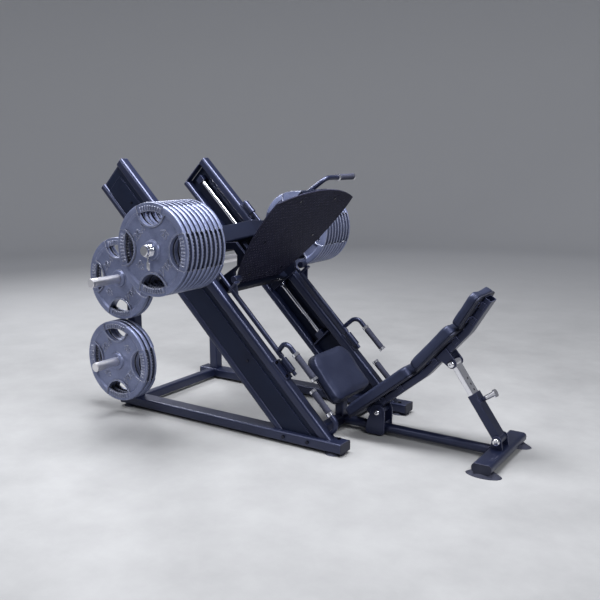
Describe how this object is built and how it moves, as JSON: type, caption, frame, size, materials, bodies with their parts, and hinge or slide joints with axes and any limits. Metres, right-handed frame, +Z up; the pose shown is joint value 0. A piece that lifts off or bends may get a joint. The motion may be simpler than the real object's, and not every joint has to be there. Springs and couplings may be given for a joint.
{
  "type": "leg press machine",
  "caption": "Plate-loaded 45 degree leg press: weight sled on inclined guide rods, wide footplate, safety catches, seat and adjustable backrest on a steel frame.",
  "frame": {"origin": "on the floor, in the middle of the machine's outer box", "axes": "+X along the length from the weights towards the user's head, +Y across the machine, +Z up"},
  "size_m": [2.3279, 1.6, 1.398],
  "materials": {
    "weight_plate": "grey hammertone enamel on cast iron",
    "chrome": "polished chrome",
    "zinc_steel": "zinc plated steel",
    "foam_grip": "matt closed-cell foam",
    "rubber": "matt rubber",
    "black_plastic": "textured plastic",
    "vinyl": "dark blue-black vinyl with light grain",
    "tread_plate": "textured dark powder coat",
    "frame_paint": "dark navy satin powder coat"
  },
  "bodies": {
    "frame": {"backrest_bracket": "frame_paint", "base_rails": "frame_paint", "beam_end_plates": "frame_paint", "beam_panels": "frame_paint", "beam_tubes_far": "frame_paint", "beam_tubes_near": "frame_paint", "center_tube": "frame_paint", "end_caps": "black_plastic", "frame_bolts": "zinc_steel", "front_cross_tube": "frame_paint", "guide_rods": "chrome", "hand_grip_foam": "foam_grip", "hand_grip_rings": "chrome", "hand_grip_tubes": "frame_paint", "rear_cross_tube": "frame_paint", "rear_uprights": "frame_paint", "rod_clamps": "frame_paint", "rubber_feet": "rubber", "seat_pad": "vinyl", "seat_post": "frame_paint", "shaft_bearings": "frame_paint", "storage_pegs": "chrome", "stored_plates_near": "weight_plate", "strut_clevis": "frame_paint", "t_foot_tube": "frame_paint", "upper_cross_tube": "frame_paint"},
    "sled": {"sled_cross_box": "frame_paint", "sled_arms": "frame_paint", "sled_lower_tube": "frame_paint", "bearing_housings": "frame_paint", "bearing_bushes": "chrome", "rest_pins": "frame_paint", "sleeve_roots": "frame_paint", "weight_sleeves": "chrome", "loaded_plates_far": "weight_plate", "loaded_plates_near": "weight_plate", "spring_collars": "zinc_steel", "footplate": "tread_plate", "footplate_bolts": "zinc_steel", "footplate_ribs": "frame_paint", "top_handle_tube": "frame_paint", "top_handle_grip": "foam_grip", "top_handle_rings": "chrome"},
    "safety_catch_near": {"safety_shaft_near": "frame_paint", "safety_grip_near": "foam_grip", "safety_rings_near": "chrome"},
    "safety_catch_far": {"safety_shaft_far": "frame_paint", "safety_grip_far": "foam_grip", "safety_rings_far": "chrome"},
    "backrest": {"backrest_frame": "frame_paint", "backrest_brackets": "frame_paint", "backrest_bolts": "zinc_steel", "back_pad_lower": "vinyl", "back_pad_middle": "vinyl", "back_pad_head": "vinyl"},
    "strut_tube": {"strut_outer_tube": "frame_paint"},
    "strut_rod": {"strut_inner_tube": "chrome"},
    "pop_pin": {"pop_pin": "zinc_steel", "pop_pin_spring": "zinc_steel"}
  },
  "joints": [
    {"name": "sled_slide", "type": "slide", "parent": "frame", "child": "sled", "axis": [-0.7071, 0, 0.7071], "range_m": [0, 0.48]},
    {"name": "safety_near", "type": "hinge", "parent": "frame", "child": "safety_catch_near", "pos_m": [-0.24907, -0.323, 0.73115], "axis": [0.7071, 0, -0.7071], "range_deg": [0, 70]},
    {"name": "safety_far", "type": "hinge", "parent": "frame", "child": "safety_catch_far", "pos_m": [-0.24907, 0.323, 0.73115], "axis": [-0.7071, 0, 0.7071], "range_deg": [0, 70]},
    {"name": "backrest_hinge", "type": "hinge", "parent": "frame", "child": "backrest", "pos_m": [0.452, 0, 0.13], "axis": [0, 1, 0], "range_deg": [-3.5, 13.5]},
    {"name": "strut_hinge", "type": "hinge", "parent": "frame", "child": "strut_tube", "pos_m": [1.075, 0, 0.102], "axis": [0, 1, 0], "range_deg": [-0.8, 0.3]},
    {"name": "strut_slide", "type": "slide", "parent": "strut_tube", "child": "strut_rod", "axis": [-0.5709, 0, 0.8211], "range_m": [-0.12, 0.035]},
    {"name": "pop_pin_pull", "type": "slide", "parent": "strut_tube", "child": "pop_pin", "axis": [0.8211, 0, 0.5709], "range_m": [0, 0.012], "stiffness_N_per_m": 600, "springref_m": -0.012, "deforming": ["pop_pin_spring"]}
  ],
  "couplings": [
    {"joint": "strut_hinge", "follows": "backrest_hinge", "ratio": -0.0502},
    {"joint": "strut_slide", "follows": "backrest_hinge", "m_per_rad": -0.4952}
  ]
}
